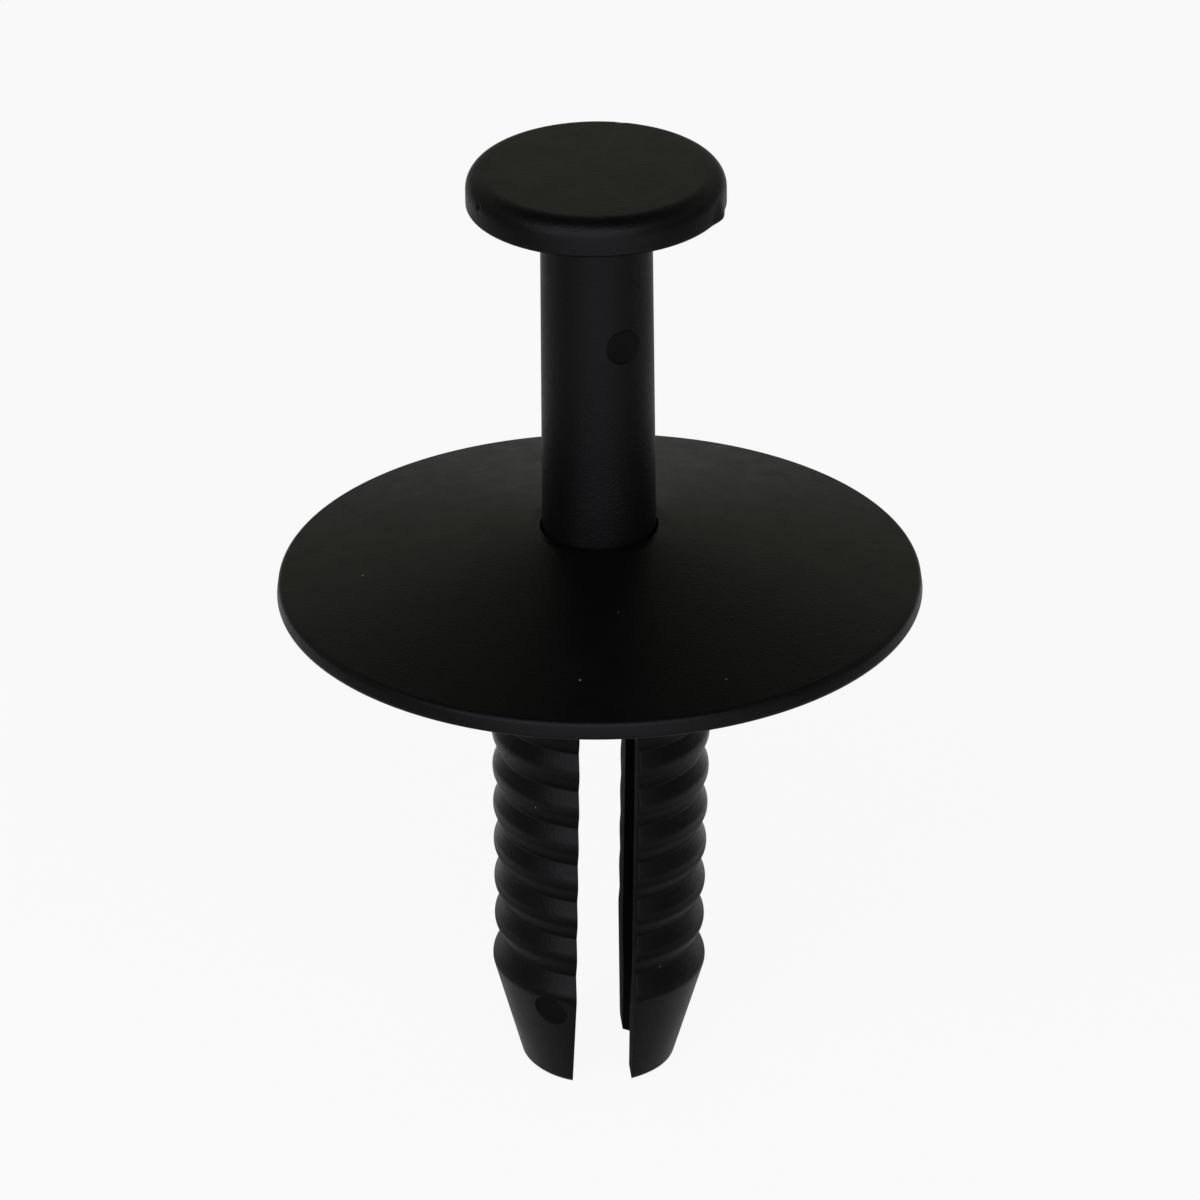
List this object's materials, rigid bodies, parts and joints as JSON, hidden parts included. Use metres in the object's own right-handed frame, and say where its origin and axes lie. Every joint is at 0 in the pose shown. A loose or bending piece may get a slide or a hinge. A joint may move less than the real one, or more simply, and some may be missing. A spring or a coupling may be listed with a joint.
{
  "type": "push rivet",
  "caption": "Plastic push rivet: an umbrella flange over a split, ribbed shank with a tapered tip, and a round-headed drive pin that slides down its bore.",
  "frame": {"origin": "on the axis, in the plane where the flange's rim seats on the panel", "axes": "+Z along the axis towards the drive pin's head, with the shank below the origin; the slot between the legs runs through along Y, so the legs stand at +X and -X"},
  "size_m": [0.03, 0.03, 0.0459],
  "materials": {
    "rivet_body": "black nylon, finely textured by the mould, slightly satin",
    "drive_pin": "black nylon, finely textured by the mould, slightly satin"
  },
  "bodies": {
    "rivet_body": {"rivet_body": "rivet_body"},
    "drive_pin": {"drive_pin": "drive_pin"}
  },
  "joints": [
    {"name": "pin_push", "type": "slide", "parent": "rivet_body", "child": "drive_pin", "axis": [0, 0, -1], "range_m": [0, 0.01537]}
  ]
}
